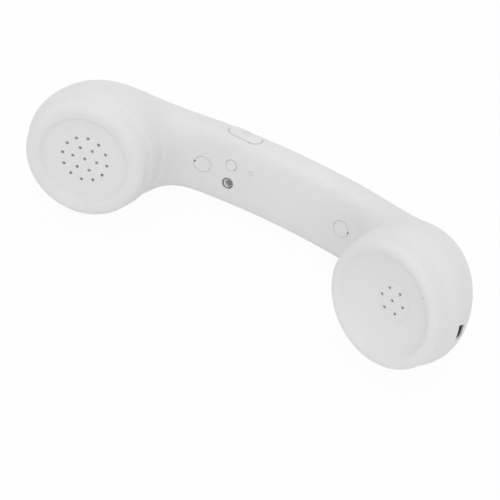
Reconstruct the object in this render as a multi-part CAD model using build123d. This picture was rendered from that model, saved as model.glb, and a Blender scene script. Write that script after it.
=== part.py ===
from build123d import *
from math import atan2, cos, pi, radians, sin, sqrt
import os

# Wireless telephone handset lying on its side, in millimetres.
# While it is modelled, X runs from the ear cup to the mouth cup, Y from the face to the back,
# and Z across the handset, with the symmetry plane at z = 0. At the end it is rolled about X
# to where it comes to rest: on both cups and the edge of the handle's back.

# Body outline
cup_spacing = 162.4
cup_tilt = 13.5
face_rise = 45.7
face_radius = 280.0
wall = 2.2
seat_depth = 9.0
shoulder_drop = 1.6
front_squareness = 0.92
back_squareness = 0.66
round_squareness = 0.5523

ear_radius = 32.2
ear_neck_radius = 18.5
ear_back_radius = 40.0
ear_half_widths = (28.1, 21.2, 19.0)

mouth_radius = 33.0
mouth_neck_radius = 15.0
mouth_back_radius = 44.0
mouth_half_widths = (28.3, 20.8, 19.0)

handle_thickness = 20.4
handle_half_width = 18.7
handle_stations = (-18.0, 0.0, 18.0)

parting_rise = 10.0
parting_radius = 203.0
parting_reach = 200.0
rest_roll = 22.5

# Ear cap
ear_rim_inset = 2.1
ear_crest_inset = 6.6
ear_crest_depth = 0.4
ear_disc_radius = 20.8
ear_disc_depth = 3.3
disc_cove = 1.2
seam_step = 0.05
cap_wall = 2.0
cap_spigot_length = 5.0
spigot_clearance = 0.1
ear_hole_radius = 0.85
ear_outer_ring = 11.3
ear_inner_ring = 6.1

# Mouth cap
mouth_rim_inset = 1.7
mouth_crest_inset = 5.4
mouth_crest_depth = 0.5
mouth_disc_radius = 10.2
mouth_disc_depth = 8.4
mouth_hole_radius = 0.8
mouth_ring = 6.2
vent_radius = 0.5
vent_ring = 23.4
vent_angle = 141.0

# Screw plugs and case screws
plug_offset_ear = -39.3
plug_offset_mouth = 37.8
plug_radius = 4.1
plug_thickness = 2.0
plug_gap = 0.16
pry_notch = 0.6
pry_angle_ear = 10.0
pry_angle_mouth = 0.0
screw_head_radius = 2.8
screw_head_height = 2.0
screw_radius = 1.5
screw_length = 12.0
screw_floor = 2.0
boss_wall = 1.6
post_radius = 3.4

# Main board and what stands on it
board_front = 53.0
board_thickness = 1.2
board_gap_ear = 3.4
board_gap_mouth = 1.9
board_side_gap = 6.2
board_start = plug_offset_ear + post_radius + board_gap_ear
board_end = plug_offset_mouth - post_radius - board_gap_mouth
board_half_width = handle_half_width - board_side_gap
post_inset = 2.5
post_inset_mouth = 4.5
post_z = board_half_width - post_inset
board_posts = (
    (board_start + post_inset, -post_z),
    (-9.0, post_z),
    (board_end - post_inset_mouth, -post_z),
    (board_end - post_inset_mouth, post_z),
)
board_post_radius = 2.2
board_screw_radius = 0.9
board_screw_head = 1.7
board_screw_length = 4.0

# Call key
key_x = -25.2
key_z = 5.1
key_radius = 2.75
key_gap = 0.22
key_proud = 0.15
key_flange_radius = 4.0
key_pad_radius = 4.6
key_pad_y = 47.8
key_travel = 0.4
switch_size = 6.0
switch_height = 3.4
plunger_radius = 1.7
plunger_rise = 0.9
plunger_clearance = 0.05

# Clear lamp beside the key, and the charge light
led_z = -5.1
led_radius = 2.5
led_gap = 0.15
led_flange_radius = 2.9
led_flange = 1.0
led_proud = 0.4
lead_size = 0.5
lead_pitch = 2.54
lead_tail = 1.6
pipe_x = -14.45
pipe_z = 5.35
pipe_radius = 1.1
pipe_gap = 0.05
pipe_flange_radius = 1.8
pipe_flange = 0.8
pipe_pad_y = 48.4
chip_height = 0.6

# Volume rocker
shield_x = 8.0
shield_length = 14.0
shield_width = 11.0
shield_height = 2.0
power_chip_x = -8.0
power_chip_z = -3.0
power_chip_size = 6.0
power_chip_height = 1.1
charging_chip_x = 10.0
charging_chip_z = 4.0
charging_chip_size = 5.0
charging_chip_height = 1.0
coil_x = 22.0
coil_z = -6.0
coil_size = 3.0
coil_height = 2.2
connector_length = 4.0
connector_height = 3.2
mouth_connector_inset = 5.5
mouth_connector_z = 0.16 * board_half_width
mouth_connector_width = 0.64 * board_half_width
ear_connector_inset = 3.0
ear_connector_z = 0.04 * board_half_width
ear_connector_width = 0.56 * board_half_width

rocker_x = -25.0
rocker_y = 53.4
rocker_length = 17.6
rocker_height = 8.0
rocker_gap = 0.3
rocker_proud = 0.45
rocker_pivot_z = handle_half_width - 4.5
rocker_pin_radius = 0.9
rocker_pin_clearance = 0.05
rocker_swing = 2.5
rocker_foot_x = 6.0
rocker_foot_z = handle_half_width - 5.45
rocker_foot_radius = 1.2
rocker_skin = 1.6
rocker_hub = 2.2
rib_thickness = 1.6
rib_half_width = 2.8
rib_foot_z = handle_half_width - 6.3
grip_pitch = 1.6
grip_width = 0.6
grip_height = 0.3
grip_length = 4.0
grip_shift = 1.0
side_switch_length = 4.6
side_switch_height = 2.8
side_button = 0.8
side_button_inset = 0.7
side_switch_z = (handle_half_width - 10.1, handle_half_width - 6.4)
side_plunger_z = handle_half_width - 5.73
rocker_foot_y = board_front + board_thickness + side_switch_height / 2

# Ear cup contents
speaker_radius = 16.0
speaker_clearance = 0.05
speaker_lip = 1.2
speaker_depth = 3.2
speaker_sheet = 0.8
cone_radius = 13.4
cone_roll = 10.5
cone_valley = 8.0
cone_crown = 5.5
magnet_radius = 10.0
magnet_height = 3.2
gasket_thickness = 0.8
holder_wall = 1.4
holder_length = 3.6

# Mouth cup contents
charge_board_depth = 14.5
charge_board_thickness = 1.2
charge_board_gap = 2.6
charge_board_radius = mouth_radius - wall - charge_board_gap
lug_inset = 3.8
lug_ring = charge_board_radius - lug_inset
lug_width = 6.0
lug_length = 4.0
socket_width = 7.7
socket_height = 3.9
socket_length = 9.0
socket_wall = 0.4
socket_recess = 0.7
socket_gap = 0.25
tongue_thickness = 0.9
microphone_radius = 4.85
microphone_height = 3.1
boot_radius = 8.2
boot_chamber = 7.2
chamber_depth = 0.6
boot_holder_length = 2.0
battery_end_gap = 9.4
battery_side_gap = 14.4
battery_length = 2 * (lug_ring - battery_end_gap)
battery_width = 2 * (lug_ring - battery_side_gap)
battery_thickness = 6.0
battery_shift = 4.0
battery_edge = 0.3 * battery_thickness
foam_thickness = 1.0
foam_inset = 2.0

ear_cup = dict(
    side=-1, radius=ear_radius, neck=ear_neck_radius, back=ear_back_radius, half=ear_half_widths
)
mouth_cup = dict(
    side=1, radius=mouth_radius, neck=mouth_neck_radius, back=mouth_back_radius, half=mouth_half_widths
)
arc_centre = Vector(0, face_rise - face_radius)
back_arc_radius = face_radius + handle_thickness
upright = (Align.CENTER, Align.CENTER, Align.MIN)


def cup_axes(cup):
    """Centre of the rim plane, the way back into the cup, and the way towards the handle."""
    side, tilt = cup["side"], radians(cup_tilt)
    centre = Vector(side * cup_spacing / 2, 0)
    back = Vector(side * sin(tilt), cos(tilt))
    inward = Vector(-side * cos(tilt), sin(tilt))
    return centre, back, inward


def cup_place(cup, depth=0.0):
    """Local frame of a cup: x towards the handle, z back along the cup's axis."""
    centre, back, inward = cup_axes(cup)
    return Location(Plane(origin=centre + back * depth, x_dir=inward, z_dir=back))


def far_hit(start, way, middle, radius):
    """Distance from start, along a unit vector, to the far side of a circle."""
    offset = start - middle
    along = way.dot(offset)
    return sqrt(along**2 - offset.dot(offset) + radius**2) - along


def neck_centre(cup):
    """Centre of the concave bend between the cup's side and the handle's face."""
    centre, back, inward = cup_axes(cup)
    start = centre + inward * (cup["radius"] + cup["neck"])
    return start + back * far_hit(start, back, arc_centre, face_radius - cup["neck"])


def back_reach(cup, pivot, outward):
    """Distance from the neck centre to the back outline: the handle's back arc,
    the cup's outer side, and the large round that is tangent to both."""
    centre, back, inward = cup_axes(cup)
    radius, rounding = cup["radius"], cup["back"]
    start = centre - inward * (radius - rounding)
    middle = start + back * far_hit(start, back, arc_centre, back_arc_radius - rounding)
    to_back = far_hit(pivot, outward, arc_centre, back_arc_radius)
    to_side = ((centre - pivot).dot(inward) - radius) / outward.dot(inward)
    corner = min(to_back, to_side) if to_side > 0 else to_back
    spoke = pivot + outward * corner - middle
    past_arc = spoke.cross(middle - arc_centre).Z * cup["side"] < 0
    if past_arc or spoke.length <= rounding:
        return corner
    return far_hit(pivot, outward, middle, rounding)


def blend(share, round_end, handle_end):
    return round_end + (handle_end - round_end) * share


def section(station, inset):
    """Closed outline of four curved quarters, its x away from the face."""
    middle, outward, half_width, length, share = station
    h = length / 2 - inset
    w = half_width - inset
    f = blend(share, round_squareness, front_squareness)
    b = blend(share, round_squareness, back_squareness)
    quarters = (
        ((h, 0), (h, b * w), (b * h, w), (0, w)),
        ((0, w), (-f * h, w), (-h, f * w), (-h, 0)),
        ((-h, 0), (-h, -f * w), (-f * h, -w), (0, -w)),
        ((0, -w), (b * h, -w), (h, -b * w), (h, 0)),
    )
    plane = Plane(origin=middle, x_dir=outward, z_dir=outward.cross(Vector(0, 0, 1)))
    return plane * make_face([Bezier(*quarter) for quarter in quarters])


def cup_stations(cup):
    """Stations from the cup's seat, fanned round the neck, to the end of the handle."""
    centre, back, inward = cup_axes(cup)
    radius, neck = cup["radius"], cup["neck"]
    pivot = neck_centre(cup)
    straight = (pivot - centre).dot(back)
    shoulder = (seat_depth + straight) / 2
    rows = []
    for depth, drop in ((seat_depth, shoulder_drop), (shoulder, shoulder_drop * 0.2), (straight, 0.0)):
        rows.append((centre + back * depth, -inward, radius - drop, 2 * (radius - drop), 0.0))
    to_arc = (pivot - arc_centre).normalized()
    first = atan2(-inward.Y, -inward.X) % (2 * pi)
    turn = (atan2(to_arc.Y, to_arc.X) - first + pi) % (2 * pi) - pi
    count = len(cup["half"]) + 1
    for index, half_width in enumerate(cup["half"], 1):
        angle = first + turn * index / count
        outward = Vector(cos(angle), sin(angle))
        length = back_reach(cup, pivot, outward) - neck
        rows.append((pivot + outward * (neck + length / 2), outward, half_width, length, index / count))
    rows.append(handle_station(to_arc))
    return rows


def handle_station(outward):
    middle = arc_centre + outward * (face_radius + handle_thickness / 2)
    return (middle, outward, handle_half_width, handle_thickness, 1.0)


def body_form(inset=0.0):
    """The whole outer form of the body without its caps, drawn in by inset."""
    middle = [handle_station(Vector(sin(x / face_radius), cos(x / face_radius))) for x in handle_stations]
    rows = cup_stations(ear_cup) + middle + cup_stations(mouth_cup)[::-1]
    return loft([section(row, inset) for row in rows])


def face_y(x):
    """Height of the face's centre line at x."""
    return arc_centre.Y + sqrt(face_radius**2 - x**2)


def rod(x, z, radius, start, end):
    """Round bar along Y."""
    return Pos(x, start, z) * Rot(-90, 0, 0) * Cylinder(radius, end - start, align=upright)


def block(x, y, z):
    """Block between pairs of coordinates."""
    corner = Pos(x[0], y[0], z[0])
    return corner * Box(x[1] - x[0], y[1] - y[0], z[1] - z[0], align=(Align.MIN, Align.MIN, Align.MIN))


def tube(outer, inner, start, end):
    """Ring along local z."""
    ring = Circle(outer) - Circle(inner)
    return Pos(0, 0, start) * extrude(ring, end - start)


def turned(outline):
    """Solid of revolution about local z from an outline of radius and depth."""
    return revolve(Plane.XZ * outline, Axis.Z)


def stadium(x, y, length, height, start, end):
    """Upright stadium between two values of z."""
    return Pos(x, y, start) * extrude(SlotOverall(length, height), end - start)


def case_shell():
    """The thin-walled body, before it is parted into its two halves."""
    return body_form() - body_form(wall)


def parting_form():
    """Everything on the face's side of the parting surface, which is one long arc."""
    return Pos(0, face_rise + parting_rise - parting_radius) * Cylinder(parting_radius, parting_reach)


def plug_floor(x):
    return face_y(x) + plug_thickness


def screw_seat(x):
    return plug_floor(x) + screw_head_height + plug_gap


def boss_end(x):
    return screw_seat(x) + screw_floor


def notch_place(x):
    """The pry notch is on the side of the plug that faces the nearer cup."""
    side, angle = (-1, radians(pry_angle_ear)) if x < 0 else (1, radians(pry_angle_mouth))
    return x + side * plug_radius * cos(angle), plug_radius * sin(angle)


def make_front_shell(shell, parting, outer):
    """Face half: both seats for the caps, the screw bosses, board posts and key openings."""
    part = shell & parting
    for x in (plug_offset_ear, plug_offset_mouth):
        part += rod(x, 0, plug_radius + plug_gap + boss_wall, face_y(x) - 2, boss_end(x)) & outer
    for x, z in board_posts:
        part += rod(x, z, board_post_radius, face_y(x) - 2, board_front) & outer
    part += rod(key_x, key_z, key_pad_radius, face_y(key_x) - 2, key_pad_y) & outer
    part += rod(pipe_x, pipe_z, pipe_flange_radius + 0.4, face_y(pipe_x) - 2, pipe_pad_y) & outer
    part += make_rib(rocker_y - rocker_height / 2 - rocker_gap - rib_thickness) & outer
    place = cup_place(mouth_cup)
    lug_start = charge_board_depth + charge_board_thickness
    for angle in (0, 90, 270):
        reach = mouth_radius - lug_ring + lug_width / 2
        lug = Box(reach, lug_width, lug_length, align=(Align.MIN, Align.CENTER, Align.MIN))
        lug = Rot(0, 0, angle) * Pos(lug_ring - lug_width / 2, 0, lug_start) * lug
        hole = Rot(0, 0, angle) * Pos(lug_ring, 0, lug_start) * Cylinder(board_screw_radius + 0.02, 7)
        part += (place * (lug - hole)) & outer
    for x in (plug_offset_ear, plug_offset_mouth):
        part -= rod(x, 0, plug_radius + plug_gap, face_y(x) - 4, plug_floor(x))
        part -= rod(*notch_place(x), pry_notch, face_y(x) - 4, face_y(x) + plug_thickness / 2)
        part -= rod(x, 0, screw_head_radius + 0.2, face_y(x), screw_seat(x))
        part -= rod(x, 0, screw_radius + 0.2, face_y(x), boss_end(x) + 1)
    for x, z in board_posts:
        part -= rod(x, z, board_screw_radius + 0.02, board_front - board_screw_length, board_front + 1)
    part -= rod(key_x, key_z, key_radius + key_gap, face_y(key_x) - 4, key_pad_y + 1)
    part -= rod(key_x, led_z, led_radius + led_gap, face_y(key_x) - 4, face_y(key_x) + 6)
    part -= rod(pipe_x, pipe_z, pipe_radius + pipe_gap, face_y(pipe_x) - 4, pipe_pad_y + 1)
    part -= rocker_window()
    part -= rocker_bearing()
    part -= place * socket_opening()
    return part


def make_back_shell(shell, parting, outer):
    """Back half: the posts that take the case screws, and the rocker's other bearing."""
    part = shell - parting
    for x in (plug_offset_ear, plug_offset_mouth):
        post = rod(x, 0, post_radius, boss_end(x), face_y(x) + handle_thickness) & outer
        part += post - rod(x, 0, screw_radius + 0.02, boss_end(x) - 1, screw_seat(x) + screw_length + 1)
    part += make_rib(rocker_y + rocker_height / 2 + rocker_gap) & outer
    part -= rocker_window()
    part -= rocker_bearing()
    part -= cup_place(mouth_cup) * socket_opening()
    return part


def make_rib(start):
    """Plate under the wall that carries one end of the rocker's pin."""
    x = (rocker_x - rib_half_width, rocker_x + rib_half_width)
    return block(x, (start, start + rib_thickness), (rib_foot_z, handle_half_width))


def rocker_window():
    length, height = rocker_length + 2 * rocker_gap, rocker_height + 2 * rocker_gap
    return stadium(rocker_x, rocker_y, length, height, rib_foot_z + rib_thickness, handle_half_width + 3)


def rocker_bearing():
    reach = rocker_height / 2 + rocker_gap + rib_thickness + 0.1
    radius = rocker_pin_radius + rocker_pin_clearance
    return rod(rocker_x, rocker_pivot_z, radius, rocker_y - reach, rocker_y + reach)


def make_rocker():
    """Volume rocker with its hub, pin ends, two feet and grip ribs."""
    plate = stadium(rocker_x, rocker_y, rocker_length, rocker_height, rib_foot_z, handle_half_width + 3)
    part = (plate & body_form(-rocker_proud)) - body_form(rocker_skin)
    inside = plate & body_form(rocker_skin - 0.2)
    hub = block(
        (rocker_x - rocker_hub, rocker_x + rocker_hub),
        (rocker_y - rocker_height / 2, rocker_y + rocker_height / 2),
        (rocker_foot_z, handle_half_width),
    )
    part += hub & inside
    for side in (-1, 1):
        foot = Pos(rocker_x + side * rocker_foot_x, rocker_foot_y, rocker_foot_z)
        foot *= Cylinder(rocker_foot_radius, 6, align=upright)
        part += foot & inside
    reach = rocker_height / 2 + rocker_gap + rib_thickness
    part += rod(rocker_x, rocker_pivot_z, rocker_pin_radius, rocker_y - reach, rocker_y + reach)
    for step in (-1, 0, 1):
        grip_x = rocker_x + step * grip_pitch
        grip = block(
            (grip_x - grip_width / 2, grip_x + grip_width / 2),
            (rocker_y + grip_shift - grip_length / 2, rocker_y + grip_shift + grip_length / 2),
            (rocker_pivot_z, handle_half_width + 3),
        )
        part += grip & body_form(-rocker_proud - grip_height)
    return part


def hole_ring(count, ring, radius, start, end):
    """Round holes in a ring about local z."""
    hole = Pos(ring, 0, start) * Cylinder(radius, end - start, align=upright)
    return [Rot(0, 0, 360 * index / count) * hole for index in range(count)]


def seat_radius(cup):
    return cup["radius"] - shoulder_drop


def spigot_radius(cup):
    return seat_radius(cup) - wall - spigot_clearance


def make_ear_cap():
    """Rounded rim round a sunken, pierced disc, with a spigot and a ring that holds the speaker."""
    rim, crest, disc = ear_radius - ear_rim_inset, ear_radius - ear_crest_inset, ear_disc_radius
    top, floor = ear_crest_depth, ear_disc_depth
    back = floor + cap_wall
    cove = disc - disc_cove
    spigot = spigot_radius(ear_cup)
    waist = seat_radius(ear_cup) - seam_step
    end = seat_depth + cap_spigot_length
    outline = [
        Line((0, floor), (cove, floor)),
        Bezier((cove, floor), (disc + 0.2, floor), (disc + 0.3, floor - 0.7), (disc + 0.8, floor - 1.3)),
        Bezier((disc + 0.8, floor - 1.3), (disc + 1.55, floor - 2.2), (crest - 3.0, top), (crest, top)),
        Bezier((crest, top), (crest + 2.6, top), (rim, top + 2.0), (rim, top + 4.6)),
        Bezier((rim, top + 4.6), (rim, top + 6.6), (waist + 0.5, seat_depth - 1.0), (waist, seat_depth)),
        Polyline(
            (waist, seat_depth),
            (spigot, seat_depth),
            (spigot, end),
            (spigot - cap_wall, end),
            (spigot - cap_wall, top + cap_wall + 1.2),
            (crest - 1.0, top + cap_wall),
            (disc + cap_wall, back - 0.8),
            (disc + cap_wall, back),
            (0, back),
            (0, floor),
        ),
    ]
    part = turned(make_face(outline))
    holder = speaker_radius + speaker_clearance
    part += tube(holder + holder_wall, holder, back, back + holder_length)
    part -= hole_ring(1, 0, ear_hole_radius, 0, back + 1)
    part -= hole_ring(6, ear_inner_ring, ear_hole_radius, 0, back + 1)
    part -= hole_ring(12, ear_outer_ring, ear_hole_radius, 0, back + 1)
    return part


def make_mouth_cap():
    """Flared rim and deep bowl, down to a small pierced disc set one step lower."""
    rim, crest, disc = mouth_radius - mouth_rim_inset, mouth_radius - mouth_crest_inset, mouth_disc_radius
    top, floor = mouth_crest_depth, mouth_disc_depth
    back = floor + cap_wall
    lip = floor - 1.1
    cove = disc - disc_cove
    bowl = crest - 3.2
    spigot = spigot_radius(mouth_cup)
    waist = seat_radius(mouth_cup) - seam_step
    end = seat_depth + cap_spigot_length
    outline = [
        Line((0, floor), (cove, floor)),
        Bezier((cove, floor), (disc + 0.4, floor), (disc + 0.2, lip + 0.17), (disc + 1.6, lip)),
        Bezier((disc + 1.6, lip), (disc + 7.0, lip - 0.65), (crest - 5.0, top + 4.2), (bowl, top + 2.0)),
        Bezier((bowl, top + 2.0), (crest - 2.2, top + 0.8), (crest - 1.2, top), (crest, top)),
        Bezier((crest, top), (crest + 2.1, top), (rim, top + 1.8), (rim, top + 4.3)),
        Bezier((rim, top + 4.3), (rim, top + 6.3), (waist + 0.6, seat_depth - 1.0), (waist, seat_depth)),
        Polyline(
            (waist, seat_depth),
            (spigot, seat_depth),
            (spigot, end),
            (spigot - cap_wall * 0.8, end),
            (spigot - cap_wall * 0.8, top + 4.4),
        ),
        Bezier(
            (spigot - cap_wall * 0.8, top + 4.4),
            (crest - 4.0, top + 6.6),
            (disc + 8.0, lip + 1.4),
            (disc + cap_wall, lip + 2.0),
        ),
        Polyline((disc + cap_wall, lip + 2.0), (disc + cap_wall, back), (0, back), (0, floor)),
    ]
    part = turned(make_face(outline))
    part += tube(boot_radius + 0.05 + holder_wall, boot_radius + 0.05, back, back + boot_holder_length)
    part -= hole_ring(1, 0, mouth_hole_radius, 0, back + 1)
    part -= hole_ring(6, mouth_ring, mouth_hole_radius, 0, back + 1)
    part -= Rot(0, 0, vent_angle) * hole_ring(1, vent_ring, vent_radius, 0, back + 1)[0]
    return part


def make_plug(x, outer):
    """Screw cover, flush with the face, with half of the pry notch in its edge."""
    part = rod(x, 0, plug_radius, face_y(x) - 2, plug_floor(x)) & outer
    return part - rod(*notch_place(x), pry_notch, face_y(x) - 4, face_y(x) + plug_thickness / 2)


def make_screw(x, z, seat, head_radius, head_height, radius, length):
    """Pan-head screw with a crossed recess, its head on the side of the face."""
    part = rod(x, z, head_radius, seat - head_height, seat) + rod(x, z, radius, seat, seat + length)
    for turn in (0, 90):
        slot = Box(head_radius * 1.2, 0.5, head_height)
        part -= Pos(x, seat - head_height, z) * Rot(0, turn, 0) * slot
    return part


def make_board():
    back = board_front + board_thickness
    board = block((board_start, board_end), (board_front, back), (-board_half_width, board_half_width))
    for x, z in board_posts:
        board -= rod(x, z, board_screw_radius + 0.15, board_front - 1, board_front + board_thickness + 1)
    for side in (-0.5, 0.5):
        board -= rod(key_x + side * lead_pitch, led_z, 0.45, board_front - 1, board_front + board_thickness + 1)
    return board


def make_board_screws():
    screws = []
    for x, z in board_posts:
        seat = board_front + board_thickness
        screw = make_screw(0, 0, 0, board_screw_head, 1.0, board_screw_radius, board_screw_length)
        screws.append(Pos(x, seat, z) * Rot(180, 0, 0) * screw)
    return screws


def make_key():
    """Round key, its flange against the pad behind the face."""
    cap = rod(key_x, key_z, key_radius, face_y(key_x) - 2, key_pad_y) & body_form(-key_proud)
    return cap + rod(key_x, key_z, key_flange_radius, key_pad_y, switch_top() - plunger_rise)


def switch_top():
    return board_front - switch_height


def make_call_switch():
    half = switch_size / 2
    body = block((key_x - half, key_x + half), (switch_top(), board_front), (key_z - half, key_z + half))
    return body - rod(key_x, key_z, plunger_radius + plunger_clearance, switch_top() - 1, switch_top() + 2)


def make_plunger():
    return rod(key_x, key_z, plunger_radius, switch_top() - plunger_rise, switch_top() + 2 - key_travel - 0.1)


def led_lead(side):
    x = key_x + side * lead_pitch / 2
    half = lead_size / 2
    tip = face_y(key_x) + 3.4
    end = board_front + board_thickness + lead_tail
    lead = block((x - half, x + half), (tip, end), (led_z - half, led_z + half))
    if side < 0:
        lead += block((x - half, key_x + 0.6), (tip, tip + 1.2), (led_z - 0.8, led_z + 0.8))
    return lead


def make_led():
    """Clear lamp with a domed end, standing on the board."""
    tip = face_y(key_x) - led_proud
    part = rod(key_x, led_z, led_radius, tip + led_radius, board_front)
    part += Pos(key_x, tip + led_radius, led_z) * Sphere(led_radius)
    part += rod(key_x, led_z, led_flange_radius, board_front - led_flange, board_front)
    return part - led_lead(-1) - led_lead(1)


def make_light_pipe(outer):
    part = rod(pipe_x, pipe_z, pipe_radius, face_y(pipe_x) - 2, board_front - chip_height - 0.2) & outer
    return part + rod(pipe_x, pipe_z, pipe_flange_radius, pipe_pad_y, pipe_pad_y + pipe_flange)


def on_front(x, z, length, width, height):
    """Block on the board's face side."""
    lengthwise, across = (x - length / 2, x + length / 2), (z - width / 2, z + width / 2)
    return block(lengthwise, (board_front - height, board_front), across)


def on_back(x, z, length, width, height):
    """Block on the board's back."""
    seat = board_front + board_thickness
    lengthwise, across = (x - length / 2, x + length / 2), (z - width / 2, z + width / 2)
    return block(lengthwise, (seat, seat + height), across)


def make_board_parts():
    """Power chip and a coil on the back of the board, charging chip on its front."""
    size = power_chip_size
    power = on_back(power_chip_x, power_chip_z, size, size, power_chip_height)
    size = charging_chip_size
    charging = on_front(charging_chip_x, charging_chip_z, size, size, charging_chip_height)
    coil = on_back(coil_x, coil_z, coil_size, coil_size, coil_height)
    return power, charging, coil


def make_connectors():
    """Plug sockets for the leads to the mouth cup and to the speaker, one near each end of the board."""
    length, height = connector_length, connector_height
    x = board_end - mouth_connector_inset
    to_mouth = on_back(x, mouth_connector_z, length, mouth_connector_width, height)
    x = board_start + ear_connector_inset
    to_ear = on_back(x, ear_connector_z, length, ear_connector_width, height)
    return to_mouth, to_ear


def make_side_switches():
    """Two small switches at the board's edge, pushed by the rocker's feet."""
    switches = []
    for side in (-1, 1):
        x = rocker_x + side * rocker_foot_x
        low, high = side_switch_z
        seat = board_front + board_thickness
        half = side_switch_length / 2
        switch = block((x - half, x + half), (seat, seat + side_switch_height), (low, high))
        button = (seat + side_button_inset, seat + side_switch_height - side_button_inset)
        switch += block((x - side_button, x + side_button), button, (high, side_plunger_z))
        switches.append(switch)
    return switches


def make_speaker():
    """Frame, magnet, cone and gasket, in the ear cup's local frame."""
    seat = ear_disc_depth + cap_wall
    front = seat + gasket_thickness
    back = front + speaker_depth
    gasket = tube(speaker_radius, cone_radius, seat, front)
    frame_outline = Polyline(
        (0, back - speaker_sheet),
        (magnet_radius + 0.4, back - speaker_sheet),
        (cone_radius, front + speaker_lip - 0.4),
        (cone_radius, front),
        (speaker_radius, front),
        (speaker_radius, front + speaker_lip),
        (cone_radius + 0.8, front + speaker_lip),
        (magnet_radius + 1.0, back),
        (0, back),
        (0, back - speaker_sheet),
    )
    frame = turned(make_face(frame_outline))
    magnet = Pos(0, 0, back) * Cylinder(magnet_radius, magnet_height, align=upright)
    edge, roll, valley, crown = cone_radius, cone_roll, cone_valley, cone_crown
    inner = crown + 0.1
    cone_outline = [
        Line((0, front + 0.3), (0, front + 0.6)),
        Bezier((0, front + 0.6), (3.0, front + 0.6), (4.5, front + 1.0), (crown, front + 1.9)),
        Bezier((crown, front + 1.9), (valley, front + 1.5), (roll, front + 0.3), (edge, front + 0.5)),
        Line((edge, front + 0.5), (edge, front + 0.2)),
        Bezier((edge, front + 0.2), (roll, front), (valley, front + 1.2), (inner, front + 1.6)),
        Bezier((inner, front + 1.6), (4.5, front + 0.7), (3.0, front + 0.3), (0, front + 0.3)),
    ]
    cone = turned(make_face(cone_outline))
    return gasket, frame, magnet, cone


def socket_centre_depth():
    return charge_board_depth + charge_board_thickness + socket_height / 2


def socket_outline(grow):
    """Mini socket section: wide side across the handset, corners nearest the board cut back."""
    w, h = socket_width / 2 + grow, socket_height / 2 + grow
    points = [(-w, h), (w, h), (w, -h * 0.2), (w * 0.8, -h), (-w * 0.8, -h), (-w, -h * 0.2)]
    return make_face(Polyline(*points, close=True))


def socket_bar(grow, start, end):
    """Bar of the socket's section, from one radius out to another."""
    plane = Plane(origin=(-start, 0, socket_centre_depth()), x_dir=(0, 1, 0), z_dir=(-1, 0, 0))
    return extrude(plane * socket_outline(grow), end - start)


def socket_mouth():
    return mouth_radius - socket_recess


def socket_opening():
    return socket_bar(socket_gap, mouth_radius - wall - 2, mouth_radius + 3)


def make_socket():
    start = socket_mouth() - socket_length
    shell = socket_bar(0, start, socket_mouth()) - socket_bar(-socket_wall, start + 1.0, socket_mouth() + 1)
    tongue = Pos(-(start + 1.0), 0, socket_centre_depth())
    inwards = (Align.MAX, Align.CENTER, Align.CENTER)
    tongue *= Box(socket_length - 2.2, socket_width * 0.62, tongue_thickness, align=inwards)
    return shell, tongue


def make_charge_board():
    disc = Cylinder(charge_board_radius, charge_board_thickness, align=upright)
    part = Pos(0, 0, charge_board_depth) * disc
    for angle in (0, 90, 270):
        part -= Rot(0, 0, angle) * Pos(lug_ring, 0, charge_board_depth) * Cylinder(board_screw_radius + 0.15, 5)
    return part


def make_charge_board_screws():
    screws = []
    for angle in (0, 90, 270):
        head = Cylinder(board_screw_head, 1.0, align=(Align.CENTER, Align.CENTER, Align.MAX))
        shank = Cylinder(board_screw_radius, board_screw_length, align=upright)
        slot = Pos(0, 0, -1.0) * (Box(2.0, 0.5, 1.0) + Box(0.5, 2.0, 1.0))
        screws.append(Rot(0, 0, angle) * Pos(lug_ring, 0, charge_board_depth) * (head + shank - slot))
    return screws


def make_microphone():
    """Capsule on the charge board, in a rubber boot that seals it to the pierced disc."""
    seat = mouth_disc_depth + cap_wall
    front = charge_board_depth - microphone_height
    capsule = Pos(0, 0, front) * Cylinder(microphone_radius, microphone_height, align=upright)
    boot = tube(boot_radius, microphone_radius, seat, charge_board_depth)
    boot += tube(boot_radius, mouth_hole_radius, seat + chamber_depth, front)
    boot -= Pos(0, 0, seat) * Cylinder(boot_chamber, chamber_depth, align=upright)
    return capsule, boot


def make_battery():
    """Flat cell on a foam pad behind the charge board."""
    seat = charge_board_depth + charge_board_thickness
    length, width = battery_length - 2 * foam_inset, battery_width - 2 * foam_inset
    pad = Pos(battery_shift, 0, seat) * Box(length, width, foam_thickness, align=upright)
    cell = Box(battery_length, battery_width, battery_thickness, align=upright)
    cell = fillet(cell.edges().filter_by(Axis.X), battery_edge)
    return pad, Pos(battery_shift, 0, seat + foam_thickness) * cell


outer = body_form()
shell = case_shell()
parting = parting_form()
in_ear = cup_place(ear_cup)
in_mouth = cup_place(mouth_cup)
gasket, speaker_frame, magnet, cone = make_speaker()
socket_shell, socket_tongue = make_socket()
capsule, boot = make_microphone()
foam, battery = make_battery()
case_screws = [
    make_screw(x, 0, screw_seat(x), screw_head_radius, screw_head_height, screw_radius, screw_length)
    for x in (plug_offset_ear, plug_offset_mouth)
]

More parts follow.
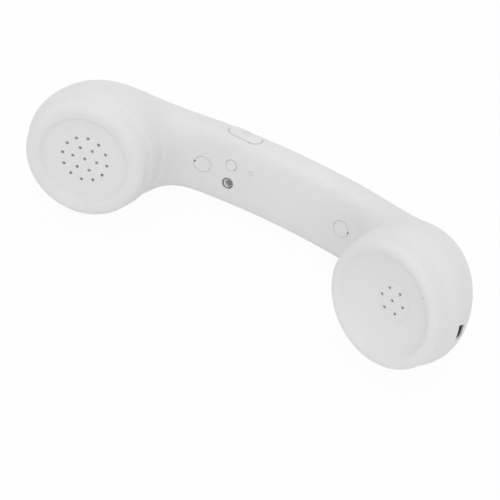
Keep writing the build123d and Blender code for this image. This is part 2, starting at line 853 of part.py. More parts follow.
nodes = {
    "front_shell": make_front_shell(shell, parting, outer),
    "back_shell": make_back_shell(shell, parting, outer),
    "ear_cap": in_ear * make_ear_cap(),
    "mouth_cap": in_mouth * make_mouth_cap(),
    "screw_plug_ear": make_plug(plug_offset_ear, outer),
    "screw_plug_mouth": make_plug(plug_offset_mouth, outer),
    "case_screws": Compound(case_screws),
    "main_board": make_board(),
    "board_screws": Compound(make_board_screws()),
    "radio_shield": on_back(shield_x, 0, shield_length, shield_width, shield_height),
    "board_parts": Compound(make_board_parts()),
    "board_connectors": Compound(make_connectors()),
    "call_key": make_key(),
    "call_switch": make_call_switch(),
    "call_plunger": make_plunger(),
    "status_lamp": make_led(),
    "status_lamp_leads": Compound([led_lead(-1), led_lead(1)]),
    "charge_light_pipe": make_light_pipe(outer),
    "charge_light": on_front(pipe_x, pipe_z, 1.6, 0.8, chip_height),
    "volume_rocker": make_rocker(),
    "volume_switches": Compound(make_side_switches()),
    "speaker_gasket": in_ear * gasket,
    "speaker_frame": in_ear * speaker_frame,
    "speaker_magnet": in_ear * magnet,
    "speaker_cone": in_ear * cone,
    "charge_board": in_mouth * make_charge_board(),
    "charge_board_screws": in_mouth * Compound(make_charge_board_screws()),
    "usb_socket": in_mouth * socket_shell,
    "usb_socket_tongue": in_mouth * socket_tongue,
    "microphone": in_mouth * capsule,
    "microphone_boot": in_mouth * boot,
    "battery": in_mouth * battery,
    "battery_pad": in_mouth * foam,
}

# The origin goes under the middle of the box of the handset as it rests.
roll = Rot(-rest_roll, 0, 0)
whole = roll * Compound([solid for node in nodes.values() for solid in node.solids()])
box = whole.bounding_box(optimal=True)
rest = Pos(-box.center().X, -box.center().Y, -box.min.Z) * roll
os.makedirs("parts", exist_ok=True)
for name, node in nodes.items():
    export_step(rest * node, f"parts/{name}.step")
print("origin moved by", -box.center().X, -box.center().Y, -box.min.Z)
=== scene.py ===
from math import cos, pi, radians, sin

import bmesh
import bpy
from mathutils import Matrix, Quaternion, Vector


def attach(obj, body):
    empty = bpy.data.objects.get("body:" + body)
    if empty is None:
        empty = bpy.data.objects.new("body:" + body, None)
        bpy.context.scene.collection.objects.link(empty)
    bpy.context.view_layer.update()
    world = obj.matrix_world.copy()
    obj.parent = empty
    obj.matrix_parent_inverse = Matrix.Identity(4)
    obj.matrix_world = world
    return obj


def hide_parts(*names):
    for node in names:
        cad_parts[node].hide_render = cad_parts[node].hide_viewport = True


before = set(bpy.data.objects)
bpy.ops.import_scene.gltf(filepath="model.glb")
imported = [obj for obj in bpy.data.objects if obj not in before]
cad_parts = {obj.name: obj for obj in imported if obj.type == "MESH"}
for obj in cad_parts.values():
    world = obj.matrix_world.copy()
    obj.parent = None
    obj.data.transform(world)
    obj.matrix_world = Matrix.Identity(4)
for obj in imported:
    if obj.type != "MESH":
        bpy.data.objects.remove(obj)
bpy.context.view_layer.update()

mm = 0.001
print("stage: packed handset loaded,", len(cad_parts), "nodes")

# Where the photographer stood
camera = {
    "target": (0.0119, -0.0260, 0.0349),
    "distance": 0.9217,
    "azimuth": 33.25,
    "elevation": 53.0,
    "roll": -1.73,
    "lens": 144.0,
    "sensor": 36.0,
    "nearest": 0.05,
}


def placeCamera():
    azimuth, elevation = radians(camera["azimuth"]), radians(camera["elevation"])
    away = Vector((sin(azimuth) * cos(elevation), -cos(azimuth) * cos(elevation), sin(elevation)))
    data = bpy.data.cameras.new("camera")
    data.lens = camera["lens"]
    data.sensor_width = camera["sensor"]
    data.clip_start = camera["nearest"]
    seat = bpy.data.objects.new("camera", data)
    bpy.context.scene.collection.objects.link(seat)
    turn = away.to_track_quat("Z", "Y") @ Quaternion((0, 0, 1), radians(camera["roll"]))
    standing = Vector(camera["target"]) + away * camera["distance"]
    seat.matrix_world = Matrix.Translation(standing) @ turn.to_matrix().to_4x4()
    bpy.context.scene.camera = seat


placeCamera()
print("stage: camera placed")

# The frame in which the handset was drawn, before it was rolled onto its side to rest. A piece's own
# dictionary is in millimetres, while camera, bumps, room and lamps are in metres.
drawn = {"roll": radians(-22.5), "moved": Vector((-0.512842, -26.043281, 39.972301)) * mm}
drawnFrame = Matrix.Translation(drawn["moved"]) @ Matrix.Rotation(drawn["roll"], 4, "X")
cups = {"tilt": radians(13.5), "halfSpacing": 81.2}
face = {"rise": 45.7, "radius": 280.0}


# A cup's own frame: x towards the handle, y across, z back along the cup's axis; side is -1 for the ear cup
def cupFrame(side, depth=0.0):
    back = Vector((side * sin(cups["tilt"]), cos(cups["tilt"]), 0))
    inward = Vector((-side * cos(cups["tilt"]), sin(cups["tilt"]), 0))
    across = back.cross(inward)
    centre = Vector((side * cups["halfSpacing"] * mm, 0, 0)) + back * depth * mm
    axes = Matrix((inward, across, back)).transposed().to_4x4()
    return drawnFrame @ Matrix.Translation(centre) @ axes


# A spot behind the face, with z pointing into the handle
def faceFrame(x, y, z):
    standing = Matrix.Rotation(radians(-90), 4, "X")
    return drawnFrame @ Matrix.Translation(Vector((x, y, z)) * mm) @ standing


def faceHeight(x):
    return face["rise"] - face["radius"] + (face["radius"] ** 2 - x ** 2) ** 0.5


# Materials
def startMaterial(name, fixed):
    material = bpy.data.materials.new(name)
    material.use_nodes = True
    nodes = material.node_tree.nodes
    shader = nodes["Principled BSDF"]
    for socket, value in fixed.items():
        shader.inputs[socket].default_value = value
    return material, nodes, material.node_tree.links, shader


def noiseOn(nodes, links, scale, detail=3.0, rough=0.55):
    place = nodes.new("ShaderNodeTexCoord")
    noise = nodes.new("ShaderNodeTexNoise")
    noise.inputs["Scale"].default_value = scale
    noise.inputs["Detail"].default_value = detail
    noise.inputs["Roughness"].default_value = rough
    links.new(place.outputs["Object"], noise.inputs["Vector"])
    return noise.outputs["Fac"]


def rampFrom(nodes, links, source, low, high, start=0.35, end=0.65):
    ramp = nodes.new("ShaderNodeValToRGB")
    ramp.color_ramp.elements[0].position = start
    ramp.color_ramp.elements[1].position = end
    ramp.color_ramp.elements[0].color = (*low, 1.0)
    ramp.color_ramp.elements[1].color = (*high, 1.0)
    links.new(source, ramp.inputs["Fac"])
    return ramp.outputs["Color"]


def rangeFrom(nodes, links, source, low, high, start=0.3, end=0.7):
    spread = nodes.new("ShaderNodeMapRange")
    spread.inputs["From Min"].default_value = start
    spread.inputs["From Max"].default_value = end
    spread.inputs["To Min"].default_value = low
    spread.inputs["To Max"].default_value = high
    links.new(source, spread.inputs["Value"])
    return spread.outputs["Result"]


def bumpFrom(nodes, links, source, strength, distance, under=None):
    bump = nodes.new("ShaderNodeBump")
    bump.inputs["Strength"].default_value = strength
    bump.inputs["Distance"].default_value = distance
    links.new(source, bump.inputs["Height"])
    if under is not None:
        links.new(under, bump.inputs["Normal"])
    return bump.outputs["Normal"]


# Faint patches in colour and roughness, a slow waviness and a fine grain
softTouch = {
    "low": (0.765, 0.765, 0.762),
    "high": (0.795, 0.795, 0.792),
    "patch": (22.0, 4.0, 0.55),
    "grain": (3800.0, 2.0, 0.6),
    "flow": (160.0, 2.0, 0.4),
    "roughness": (0.50, 0.60),
    "flowBump": (0.06, 0.0003),
    "grainBump": (0.10, 0.00003),
    "fixed": {"Specular IOR Level": 0.32, "Subsurface Weight": 0.04, "Subsurface Scale": 0.001},
}


def makeSoftTouch(name, lift=0.0):
    material, nodes, links, shader = startMaterial(name, softTouch["fixed"])
    patches = noiseOn(nodes, links, *softTouch["patch"])
    low = tuple(v + lift for v in softTouch["low"])
    high = tuple(v + lift for v in softTouch["high"])
    links.new(rampFrom(nodes, links, patches, low, high), shader.inputs["Base Color"])
    grain = noiseOn(nodes, links, *softTouch["grain"])
    flow = noiseOn(nodes, links, *softTouch["flow"])
    links.new(rangeFrom(nodes, links, patches, *softTouch["roughness"]), shader.inputs["Roughness"])
    wavy = bumpFrom(nodes, links, flow, *softTouch["flowBump"])
    links.new(bumpFrom(nodes, links, grain, *softTouch["grainBump"], wavy), shader.inputs["Normal"])
    return material


# One noise drives the colour, the roughness and the bump of each of these
plainLooks = {
    "zinc steel": dict(
        low=(0.46, 0.46, 0.47), high=(0.62, 0.62, 0.64), scale=1800.0, roughness=(0.25, 0.42),
        bump=(0.15, 0.00002), metallic=1.0,
    ),
    "drawn steel": dict(
        low=(0.70, 0.70, 0.71), high=(0.82, 0.82, 0.83), scale=900.0, roughness=(0.28, 0.42), metallic=1.0,
    ),
    "moulded black": dict(
        low=(0.018, 0.018, 0.019), high=(0.035, 0.035, 0.036), scale=2400.0, roughness=(0.42, 0.6),
        bump=(0.2, 0.00002),
    ),
    # Also the painted shade of the gap round the lamp's hole
    "plunger grey and painted gap shade": dict(
        low=(0.30, 0.30, 0.31), high=(0.38, 0.38, 0.39), scale=2000.0, roughness=(0.4, 0.5),
    ),
    "boot rubber": dict(
        low=(0.02, 0.02, 0.02), high=(0.04, 0.04, 0.04), scale=1500.0, roughness=(0.65, 0.85),
        bump=(0.3, 0.00004), specular=0.3,
    ),
    "foam grey": dict(
        low=(0.07, 0.07, 0.075), high=(0.16, 0.16, 0.17), scale=2200.0, roughness=(0.85, 1.0),
        bump=(0.8, 0.0001), specular=0.1,
    ),
    "magnet plate": dict(
        low=(0.28, 0.28, 0.29), high=(0.42, 0.42, 0.44), scale=1200.0, roughness=(0.3, 0.45), metallic=1.0,
    ),
    "cone film": dict(
        low=(0.42, 0.38, 0.28), high=(0.55, 0.50, 0.40), scale=1600.0, roughness=(0.45, 0.6),
        bump=(0.25, 0.00003),
    ),
    "capsule can": dict(
        low=(0.60, 0.60, 0.61), high=(0.74, 0.74, 0.75), scale=1400.0, roughness=(0.25, 0.4), metallic=1.0,
    ),
    "cell foil": dict(
        low=(0.54, 0.55, 0.57), high=(0.68, 0.69, 0.71), scale=700.0, roughness=(0.3, 0.5),
        bump=(0.3, 0.00006), metallic=0.8,
    ),
    "contact gold": dict(
        low=(0.80, 0.58, 0.22), high=(0.90, 0.70, 0.34), scale=1500.0, roughness=(0.2, 0.3),
        bump=(0.05, 0.00001), metallic=1.0,
    ),
}


def makePlain(name, low, high, scale, roughness, bump=(0.1, 0.00002), metallic=0.0, specular=0.5):
    fixed = {"Metallic": metallic, "Specular IOR Level": specular}
    material, nodes, links, shader = startMaterial(name, fixed)
    noise = noiseOn(nodes, links, scale)
    links.new(rampFrom(nodes, links, noise, low, high), shader.inputs["Base Color"])
    links.new(rangeFrom(nodes, links, noise, *roughness), shader.inputs["Roughness"])
    links.new(bumpFrom(nodes, links, noise, *bump), shader.inputs["Normal"])
    return material


# Square cells stand for copper tracks under green lacquer
boardLook = {
    "cell": 420.0, "lacquer": (0.02, 0.17, 0.07), "copper": (0.03, 0.24, 0.10), "edge": (0.28, 0.32),
    "bump": (0.15, 0.00003), "fixed": {"Roughness": 0.35, "Coat Weight": 0.3},
}


def makeBoardLacquer():
    material, nodes, links, shader = startMaterial("board lacquer", boardLook["fixed"])
    place = nodes.new("ShaderNodeTexCoord")
    tracks = nodes.new("ShaderNodeTexVoronoi")
    tracks.distance = "CHEBYCHEV"
    tracks.inputs["Scale"].default_value = boardLook["cell"]
    links.new(place.outputs["Object"], tracks.inputs["Vector"])
    cell = tracks.outputs["Distance"]
    colour = rampFrom(nodes, links, cell, boardLook["lacquer"], boardLook["copper"], *boardLook["edge"])
    links.new(colour, shader.inputs["Base Color"])
    links.new(bumpFrom(nodes, links, cell, *boardLook["bump"]), shader.inputs["Normal"])
    return material


lampLook = {
    "noise": 900.0, "low": (0.94, 0.95, 0.95), "high": (0.98, 0.98, 0.98), "roughness": (0.02, 0.05),
    "fixed": {"Transmission Weight": 0.88, "IOR": 1.53},
}


def makeClearLamp():
    material, nodes, links, shader = startMaterial("clear lamp", lampLook["fixed"])
    noise = noiseOn(nodes, links, lampLook["noise"])
    links.new(rampFrom(nodes, links, noise, lampLook["low"], lampLook["high"]), shader.inputs["Base Color"])
    links.new(rangeFrom(nodes, links, noise, *lampLook["roughness"]), shader.inputs["Roughness"])
    return material


# Painted highlight on the light pipe: brightest along its middle, fading to a darker edge
pipeLook = {
    "x": -14.45, "z": 5.35, "radius": 1.1, "noise": 2600.0, "middle": (0.99, 0.99, 0.98),
    "edge": (0.62, 0.62, 0.62), "fade": (0.30, 0.95), "roughness": (0.25, 0.38), "bump": (0.15, 0.00002),
    "fixed": {"Transmission Weight": 0.12, "IOR": 1.49},
}


def makePipeWithPaintedHighlight():
    material, nodes, links, shader = startMaterial("frosted pipe with painted highlight", pipeLook["fixed"])
    noise = noiseOn(nodes, links, pipeLook["noise"])
    place = nodes.new("ShaderNodeTexCoord")
    standing = nodes.new("ShaderNodeMapping")
    standing.vector_type = "TEXTURE"
    axis = drawnFrame @ (Vector((pipeLook["x"], 0.0, pipeLook["z"])) * mm)
    standing.inputs["Location"].default_value = axis
    standing.inputs["Rotation"].default_value = (drawn["roll"], 0.0, 0.0)
    links.new(place.outputs["Object"], standing.inputs["Vector"])
    flat = nodes.new("ShaderNodeMapping")
    perRadius = 1.0 / (pipeLook["radius"] * mm)
    flat.inputs["Scale"].default_value = (perRadius, 0.0, perRadius)
    links.new(standing.outputs["Vector"], flat.inputs["Vector"])
    reach = nodes.new("ShaderNodeVectorMath")
    reach.operation = "LENGTH"
    links.new(flat.outputs["Vector"], reach.inputs[0])
    away = reach.outputs["Value"]
    # Painted highlight: near white in the middle, darker towards the edge
    colour = rampFrom(nodes, links, away, pipeLook["middle"], pipeLook["edge"], *pipeLook["fade"])
    links.new(colour, shader.inputs["Base Color"])
    links.new(rangeFrom(nodes, links, noise, *pipeLook["roughness"]), shader.inputs["Roughness"])
    links.new(bumpFrom(nodes, links, noise, *pipeLook["bump"]), shader.inputs["Normal"])
    return material


# Two crossing sets of threads
weaveLook = {
    "scale": 1400.0, "distortion": 0.4, "low": (0.76, 0.76, 0.765), "high": (0.90, 0.90, 0.905),
    "gap": (0.05, 0.60), "bump": (0.5, 0.00004), "fixed": {"Roughness": 0.9, "Specular IOR Level": 0.2},
}


def makeDustWeave():
    material, nodes, links, shader = startMaterial("dust weave", weaveLook["fixed"])
    place = nodes.new("ShaderNodeTexCoord")
    weave = nodes.new("ShaderNodeMath")
    weave.operation = "MULTIPLY"
    for index, direction in enumerate(("X", "Z")):
        threads = nodes.new("ShaderNodeTexWave")
        threads.wave_type = "BANDS"
        threads.bands_direction = direction
        threads.inputs["Scale"].default_value = weaveLook["scale"]
        threads.inputs["Distortion"].default_value = weaveLook["distortion"]
        links.new(place.outputs["Object"], threads.inputs["Vector"])
        links.new(threads.outputs["Fac"], weave.inputs[index])
    woven = weave.outputs[0]
    colour = rampFrom(nodes, links, woven, weaveLook["low"], weaveLook["high"], *weaveLook["gap"])
    links.new(colour, shader.inputs["Base Color"])
    links.new(bumpFrom(nodes, links, woven, *weaveLook["bump"]), shader.inputs["Normal"])
    return material


shellWhite = makeSoftTouch("soft touch white")
keyWhite = makeSoftTouch("key white", 0.012)
plain = {name: makePlain(name, **look) for name, look in plainLooks.items()}
dustWeave = makeDustWeave()
boardLacquer = makeBoardLacquer()
clearLamp = makeClearLamp()
pipeWithPaintedHighlight = makePipeWithPaintedHighlight()

finishes = {
    shellWhite: ("front_shell", "back_shell", "ear_cap", "mouth_cap", "screw_plug_ear", "screw_plug_mouth"),
    keyWhite: ("call_key", "volume_rocker"),
    plain["zinc steel"]: ("case_screws", "board_screws", "charge_board_screws", "radio_shield"),
    plain["drawn steel"]: ("usb_socket", "status_lamp_leads"),
    plain["moulded black"]: (
        "board_parts", "board_connectors", "call_switch", "volume_switches", "speaker_frame",
        "usb_socket_tongue",
    ),
    plain["plunger grey and painted gap shade"]: ("call_plunger",),
    plain["boot rubber"]: ("microphone_boot",),
    plain["foam grey"]: ("speaker_gasket", "battery_pad"),
    plain["magnet plate"]: ("speaker_magnet",),
    plain["cone film"]: ("speaker_cone",),
    plain["capsule can"]: ("microphone",),
    plain["cell foil"]: ("battery",),
    boardLacquer: ("main_board", "charge_board"),
    clearLamp: ("status_lamp",),
    pipeWithPaintedHighlight: ("charge_light_pipe", "charge_light"),
}


def dressNodes():
    for material, names in finishes.items():
        for name in names:
            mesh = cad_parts[name].data
            mesh.materials.clear()
            mesh.materials.append(material)


dressNodes()
print("stage: finishes on the packed nodes")


# Turns a finished bmesh into a piece that rides on a body
def keepPiece(name, work, material, body, place=None):
    mesh = bpy.data.meshes.new(name)
    if place is not None:
        bmesh.ops.transform(work, matrix=place, verts=work.verts)
    bmesh.ops.recalc_face_normals(work, faces=work.faces)
    work.to_mesh(mesh)
    work.free()
    mesh.materials.append(material)
    for polygon in mesh.polygons:
        polygon.use_smooth = True
    piece = bpy.data.objects.new(name, mesh)
    bpy.context.scene.collection.objects.link(piece)
    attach(piece, body)
    return piece


# A round wall along z, with its first radius at the low end
def startWall(first, second, depth, steps, capped=False):
    work = bmesh.new()
    bmesh.ops.create_cone(
        work, cap_ends=capped, segments=steps, radius1=first * mm, radius2=second * mm, depth=depth * mm,
    )
    return work


# A flat ring between two radii
def startRing(inner, outer, steps):
    work = bmesh.new()
    bmesh.ops.create_circle(work, cap_ends=False, segments=steps, radius=outer * mm)
    extruded = bmesh.ops.extrude_edge_only(work, edges=work.edges[:])["geom"]
    inside = [part for part in extruded if isinstance(part, bmesh.types.BMVert)]
    bmesh.ops.scale(work, vec=(inner / outer, inner / outer, 1.0), verts=inside)
    return work


def thicken(work, thickness):
    bmesh.ops.solidify(work, geom=work.faces[:], thickness=thickness * mm)


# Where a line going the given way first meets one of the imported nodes
def meets(names, start, way):
    hits = []
    for name in names:
        hit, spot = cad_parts[name].ray_cast(start, way)[:2]
        if hit:
            hits.append(spot)
    return min(hits, key=lambda spot: (spot - start).length) if hits else None


# The lamp stands behind the face on this axis
lampAxis = {"x": -25.2, "z": -5.1}


def lampFrame(y):
    return faceFrame(lampAxis["x"], y, lampAxis["z"])


# Metal cup round the chip inside the clear lamp
lampCup = {
    "front": 45.30, "depth": 2.65, "mouth": 0.60, "base": 0.35, "sheet": 0.08, "die": 0.35, "steps": 48,
}


def makeLampCup():
    work = startWall(lampCup["mouth"], lampCup["base"], lampCup["depth"], lampCup["steps"])
    rim = [edge for edge in work.edges if edge.is_boundary and edge.verts[0].co.z > 0]
    bmesh.ops.contextual_create(work, geom=rim)
    thicken(work, -lampCup["sheet"])
    die = bmesh.ops.create_cube(work, size=lampCup["die"] * mm)["verts"]
    bmesh.ops.translate(work, vec=(0, 0, (lampCup["depth"] / 2 - lampCup["die"] / 2) * mm), verts=die)
    place = lampFrame(lampCup["front"] + lampCup["depth"] / 2)
    keepPiece("lamp_cup", work, plain["drawn steel"], "root", place)


makeLampCup()

# Clear lens of the lamp, filling its hole with a low crown, down to the flange on the board
lampLens = {
    "radius": 2.5, "tip": 44.16, "crown": 0.40, "crownSteps": 10, "board": 53.0,
    "flange": 2.9, "flangeThick": 1.0, "steps": 64, "weld": 0.001,
}


def makeLampLens():
    work = bmesh.new()
    radius, crown, flange = lampLens["radius"], lampLens["crown"], lampLens["flange"]
    sphere = (radius ** 2 + crown ** 2) / (2 * crown)
    spread = [radius * step / lampLens["crownSteps"] for step in range(lampLens["crownSteps"] + 1)]
    outline = [(r, sphere - (sphere ** 2 - r ** 2) ** 0.5) for r in spread]
    deep = lampLens["board"] - lampLens["tip"]
    ledge = deep - lampLens["flangeThick"]
    outline += [(radius, ledge), (flange, ledge), (flange, deep), (0.0, deep)]
    spots = [work.verts.new((r * mm, 0, z * mm)) for r, z in outline]
    edges = [work.edges.new(pair) for pair in zip(spots, spots[1:])]
    bmesh.ops.spin(
        work, geom=spots + edges, cent=(0, 0, 0), axis=(0, 0, 1), angle=2 * pi, steps=lampLens["steps"],
        use_merge=True, use_duplicate=False,
    )
    bmesh.ops.remove_doubles(work, verts=work.verts, dist=lampLens["weld"] * mm)
    lens = keepPiece("lamp_lens", work, clearLamp, "root", lampFrame(lampLens["tip"]))
    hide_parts("status_lamp")


makeLampLens()

# Black sleeve low in the lamp's hole
lampSleeve = {"front": 45.5, "length": 2.7, "inner": 2.52, "outer": 2.63, "steps": 64}


def makeLampSleeve():
    work = startWall(lampSleeve["outer"], lampSleeve["outer"], lampSleeve["length"], lampSleeve["steps"])
    thicken(work, lampSleeve["outer"] - lampSleeve["inner"])
    place = lampFrame(lampSleeve["front"] + lampSleeve["length"] / 2)
    keepPiece("lamp_sleeve", work, plain["moulded black"], "root", place)


makeLampSleeve()

# Shallow bright collar and dark foot inside the lens. The collar is a crescent, widest towards the ear cup
lampCollar = {
    "front": 44.95, "depth": 0.60, "outer": 2.20, "inner": 1.25, "shift": (0.52, -0.32, 0.0),
    "sheet": 0.08, "foot": 0.15, "footHole": 0.40, "steps": 64,
}


def makeLampCollar():
    work = startWall(lampCollar["outer"], lampCollar["inner"], lampCollar["depth"], lampCollar["steps"])
    inside = [spot for spot in work.verts if spot.co.z > 0]
    bmesh.ops.translate(work, vec=Vector(lampCollar["shift"]) * mm, verts=inside)
    thicken(work, lampCollar["sheet"])
    place = lampFrame(lampCollar["front"] + lampCollar["depth"] / 2)
    keepPiece("lamp_collar", work, plain["drawn steel"], "root", place)
    work = startRing(lampCollar["footHole"], lampCollar["outer"], lampCollar["steps"])
    thicken(work, lampCollar["foot"])
    place = lampFrame(lampCollar["front"] + lampCollar["depth"] + 2 * lampCollar["foot"])
    keepPiece("lamp_collar_foot", work, plain["moulded black"], "root", place)


makeLampCollar()

# Painted shade: a thin grey ring laid on the curved face round the mouth of the lamp's hole, standing in
# for the shadow in the gap there
lampGapShade = {
    "inner": 2.66, "outer": 2.98, "proud": 0.03, "thick": 0.08, "above": 4.0, "beside": 0.1, "steps": 64,
}


def makeLampGapShade():
    work = startRing(lampGapShade["inner"], lampGapShade["outer"], lampGapShade["steps"])
    place = lampFrame(lampLens["tip"] - lampGapShade["above"])
    inwards = (place.to_3x3() @ Vector((0, 0, 1))).normalized()
    middle = place.translation
    bmesh.ops.transform(work, matrix=place, verts=work.verts)
    for spot in work.verts:
        out = (spot.co - middle).normalized()
        start = middle + out * (lampGapShade["outer"] + lampGapShade["beside"]) * mm
        lands = meets(("front_shell",), start, inwards)
        spot.co += inwards * ((lands - middle).dot(inwards) - lampGapShade["proud"] * mm)
    thicken(work, lampGapShade["thick"])
    keepPiece("lamp_gap_shade", work, plain["plunger grey and painted gap shade"], "root")


makeLampGapShade()

# Woven screens stuck behind the sound holes, each with its ring of tape
dustScreen = {"thick": 0.10, "tape": 1.2, "tapeThick": 0.08, "steps": 64}
dustPlaces = {
    "ear_dust_screen": {"side": -1, "radius": 13.2, "depth": 5.36},
    "mouth_dust_screen": {"side": 1, "radius": 7.0, "depth": 10.46},
}


def makeDustScreen(name, side, radius, depth):
    work = startWall(radius, radius, dustScreen["thick"], dustScreen["steps"], capped=True)
    back = [polygon for polygon in work.faces if polygon.normal.z > 0.9]
    bmesh.ops.inset_region(
        work, faces=back, thickness=dustScreen["tape"] * mm, depth=-dustScreen["tapeThick"] * mm / 2,
    )
    place = cupFrame(side, depth + dustScreen["thick"] / 2)
    keepPiece(name, work, dustWeave, "root", place)


for screenName, screenPlace in dustPlaces.items():
    makeDustScreen(screenName, **screenPlace)

# White skirt on the volume rocker that closes most of the gap round it
rockerSkirt = {
    "x": -25.0, "y": 53.4, "length": 17.6, "height": 8.0, "reach": 0.20, "endReach": 0.08,
    "inner": 0.25, "sunk": 0.15, "thick": 0.5, "steps": 64, "from": 24.0, "gap": 0.3, "pastGap": 0.15,
    "middle": 0.01,
}


def makeRockerSkirt():
    half = rockerSkirt["height"] / 2
    work = startRing(half - rockerSkirt["inner"], half + rockerSkirt["reach"], rockerSkirt["steps"])
    stretch = (rockerSkirt["length"] - rockerSkirt["height"]) / 2
    pull = stretch - rockerSkirt["reach"] + rockerSkirt["endReach"]
    down = drawnFrame.to_3x3() @ Vector((0, 0, -1))
    beyond = 1 + (rockerSkirt["gap"] + rockerSkirt["pastGap"]) / half
    top = Vector((rockerSkirt["x"], rockerSkirt["y"], rockerSkirt["from"])) * mm
    for spot in work.verts:
        side = 0 if abs(spot.co.x) < rockerSkirt["middle"] * mm else (1 if spot.co.x > 0 else -1)
        out = Vector((spot.co.x, spot.co.y, 0)).normalized() * half * beyond * mm
        start = drawnFrame @ (top + out + Vector((side * stretch * mm, 0, 0)))
        lands = meets(("front_shell", "back_shell"), start, down)
        fall = (lands - start).length + rockerSkirt["sunk"] * mm
        spot.co += top + Vector((side * pull * mm, 0, -fall))
    bmesh.ops.recalc_face_normals(work, faces=work.faces)
    bmesh.ops.transform(work, matrix=drawnFrame, verts=work.verts)
    thicken(work, rockerSkirt["thick"])
    keepPiece("rocker_skirt", work, keyWhite, "volume_rocker")


makeRockerSkirt()

# The soft-touch coat where it bridges the seam between a cap and its cup
seamCoat = {
    "steps": 160, "rows": 6, "capDepth": 7.2, "seamDepth": 9.0, "cupDepth": 11.2, "nearSeam": 0.1,
    "sunk": 0.03, "most": 1.2, "from": 40.0,
}
seamPlaces = {
    "ear_seam_coat": {"side": -1, "cap": "ear_cap"},
    "mouth_seam_coat": {"side": 1, "cap": "mouth_cap"},
}


# How far from the cup's axis a line coming in at this depth meets the named nodes, in metres
def reachOf(names, place, out, depth):
    far = seamCoat["from"] * mm
    start = place @ (out * far + Vector((0, 0, depth * mm)))
    lands = meets(names, start, place.to_3x3() @ -out)
    return far if lands is None else far - (lands - start).length


def makeSeamCoat(name, side, cap):
    place = cupFrame(side)
    work = bmesh.new()
    for row in range(seamCoat["rows"]):
        ring = bmesh.ops.create_circle(
            work, cap_ends=False, segments=seamCoat["steps"], radius=seamCoat["from"] * mm,
        )["verts"]
        share = row / (seamCoat["rows"] - 1)
        a, b, c = (1 - share) ** 2, 2 * share * (1 - share), share ** 2
        depth = a * seamCoat["capDepth"] + b * seamCoat["seamDepth"] + c * seamCoat["cupDepth"]
        for spot in ring:
            out = Vector((spot.co.x, spot.co.y, 0)).normalized()
            capReach = reachOf((cap,), place, out, seamCoat["capDepth"])
            seamReach = reachOf((cap,), place, out, seamCoat["seamDepth"] - seamCoat["nearSeam"])
            cupReach = reachOf(("front_shell", "back_shell"), place, out, seamCoat["cupDepth"])
            cupReach = min(cupReach, capReach + seamCoat["most"] * mm)
            radius = a * capReach + b * seamReach + c * cupReach - seamCoat["sunk"] * mm * (a + c)
            spot.co = out * radius + Vector((0, 0, depth * mm))
    bmesh.ops.bridge_loops(work, edges=work.edges[:])
    keepPiece(name, work, shellWhite, "root", place)


for seamName, seamPlace in seamPlaces.items():
    makeSeamCoat(seamName, **seamPlace)

# Five spring contacts along the charging socket's tongue
contacts = {
    "count": 5, "pitch": 0.8, "width": 0.42, "thick": 0.12, "length": 6.0, "start": 24.5, "height": 18.16,
    "edge": 0.03, "edgeSteps": 2,
}


def makeContacts():
    work = bmesh.new()
    size = Vector((contacts["length"], contacts["width"], contacts["thick"])) * mm
    middle = contacts["start"] + contacts["length"] / 2
    for index in range(contacts["count"]):
        bar = bmesh.ops.create_cube(work, size=1.0)["verts"]
        bmesh.ops.scale(work, vec=size, verts=bar)
        across = (index - (contacts["count"] - 1) / 2) * contacts["pitch"]
        bmesh.ops.translate(work, vec=Vector((-middle, across, contacts["height"])) * mm, verts=bar)
    bmesh.ops.bevel(
        work, geom=work.edges[:], offset=contacts["edge"] * mm, segments=contacts["edgeSteps"],
        profile=0.5, affect="EDGES", material=-1,
    )
    keepPiece("socket_contacts", work, plain["contact gold"], "root", cupFrame(1))


makeContacts()

# Rolled threads on the two case screws
thread = {
    "seatPastFace": 4.12, "from": 2.4, "turns": 9, "pitch": 1.0, "flank": 0.38, "core": 1.45,
    "crest": 1.7, "stepsPerTurn": 24,
}
threadPlaces = {"case_screw_thread_ear": -39.3, "case_screw_thread_mouth": 37.8}


def makeThread(name, x):
    work = bmesh.new()
    half = thread["pitch"] * thread["flank"]
    corners = ((thread["core"], -half), (thread["crest"], 0.0), (thread["core"], half))
    spots = [work.verts.new((r * mm, 0, z * mm)) for r, z in corners]
    flanks = [work.edges.new((spots[i], spots[(i + 1) % 3])) for i in range(3)]
    rise = (0, 0, thread["pitch"] * mm / thread["stepsPerTurn"])
    bmesh.ops.spin(
        work, geom=spots + flanks, cent=(0, 0, 0), axis=(0, 0, 1), dvec=rise,
        angle=2 * pi * thread["turns"], steps=thread["stepsPerTurn"] * thread["turns"], use_duplicate=False,
    )
    bmesh.ops.holes_fill(work, edges=[edge for edge in work.edges if edge.is_boundary], sides=3)
    place = faceFrame(x, faceHeight(x) + thread["seatPastFace"] + thread["from"], 0)
    keepPiece(name, work, plain["zinc steel"], "root", place)


for threadName, threadX in threadPlaces.items():
    makeThread(threadName, threadX)
print("stage: lamp, screens, skirt, seams, socket contacts and screw threads")

# Floor and light
room = {
    "floor": 6.0,
    "floorGrey": 0.86,
    "floorOwnWhite": 0.95,
    "worldLevel": 0.785,
}
lamps = {
    "top lamp": {"level": 4.4, "size": 1.6, "at": (0.05, 0.55, 1.40)},
    "front lamp": {"level": 3.3, "size": 1.6, "at": (0.35, -1.15, 0.95)},
}


# One for rays from the camera, mirrors and glass, so that the paper stays white there
def seenDirectly(nodes, links):
    path = nodes.new("ShaderNodeLightPath")
    first = nodes.new("ShaderNodeMath")
    first.operation = "MAXIMUM"
    second = nodes.new("ShaderNodeMath")
    second.operation = "MAXIMUM"
    links.new(path.outputs["Is Camera Ray"], first.inputs[0])
    links.new(path.outputs["Is Glossy Ray"], first.inputs[1])
    links.new(first.outputs[0], second.inputs[0])
    links.new(path.outputs["Is Transmission Ray"], second.inputs[1])
    return second.outputs[0]


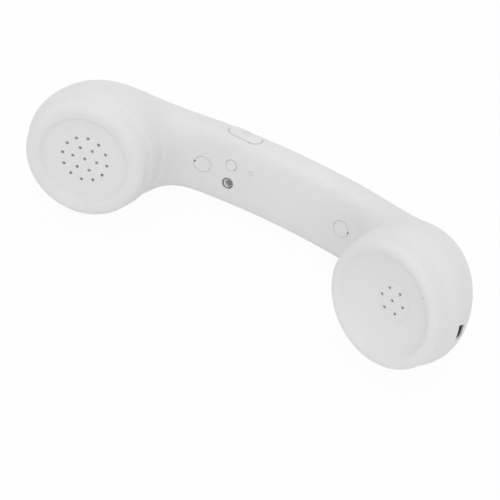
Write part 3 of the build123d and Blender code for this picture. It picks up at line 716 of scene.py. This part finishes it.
def makeFloor():
    work = bmesh.new()
    bmesh.ops.create_grid(work, x_segments=2, y_segments=2, size=room["floor"] / 2)
    mesh = bpy.data.meshes.new("floor")
    work.to_mesh(mesh)
    work.free()
    floor = bpy.data.objects.new("floor", mesh)
    bpy.context.scene.collection.objects.link(floor)
    fixed = {
        "Base Color": (*[room["floorGrey"]] * 3, 1.0), "Roughness": 0.9, "Specular IOR Level": 0.0,
    }
    material, nodes, links, shader = startMaterial("paper floor", fixed)
    glow = nodes.new("ShaderNodeEmission")
    share = nodes.new("ShaderNodeMath")
    share.operation = "MULTIPLY"
    share.inputs[1].default_value = room["floorOwnWhite"]
    links.new(seenDirectly(nodes, links), share.inputs[0])
    mix = nodes.new("ShaderNodeMixShader")
    links.new(share.outputs[0], mix.inputs["Fac"])
    links.new(shader.outputs["BSDF"], mix.inputs[1])
    links.new(glow.outputs["Emission"], mix.inputs[2])
    links.new(mix.outputs["Shader"], nodes["Material Output"].inputs["Surface"])
    mesh.materials.append(material)


def makeWorld():
    world = bpy.data.worlds.new("studio")
    world.use_nodes = True
    nodes, links = world.node_tree.nodes, world.node_tree.links
    lighting = nodes["Background"]
    seen = nodes.new("ShaderNodeBackground")
    for background, level in ((lighting, room["worldLevel"]), (seen, 1.0)):
        background.inputs["Color"].default_value = (1.0, 1.0, 1.0, 1.0)
        background.inputs["Strength"].default_value = level
    mix = nodes.new("ShaderNodeMixShader")
    links.new(seenDirectly(nodes, links), mix.inputs["Fac"])
    links.new(lighting.outputs["Background"], mix.inputs[1])
    links.new(seen.outputs["Background"], mix.inputs[2])
    links.new(mix.outputs["Shader"], nodes["World Output"].inputs["Surface"])
    bpy.context.scene.world = world


# Square lamps that face the middle of the floor
def makeLamps():
    for name, lamp in lamps.items():
        data = bpy.data.lights.new(name, "AREA")
        data.energy = lamp["level"]
        data.size = lamp["size"]
        stand = bpy.data.objects.new(name, data)
        bpy.context.scene.collection.objects.link(stand)
        aim = Vector(lamp["at"]).to_track_quat("Z", "Y")
        stand.matrix_world = Matrix.Translation(Vector(lamp["at"])) @ aim.to_matrix().to_4x4()


makeFloor()
makeWorld()
makeLamps()
bpy.context.scene.view_settings.view_transform = "Standard"
print("stage: floor and light")
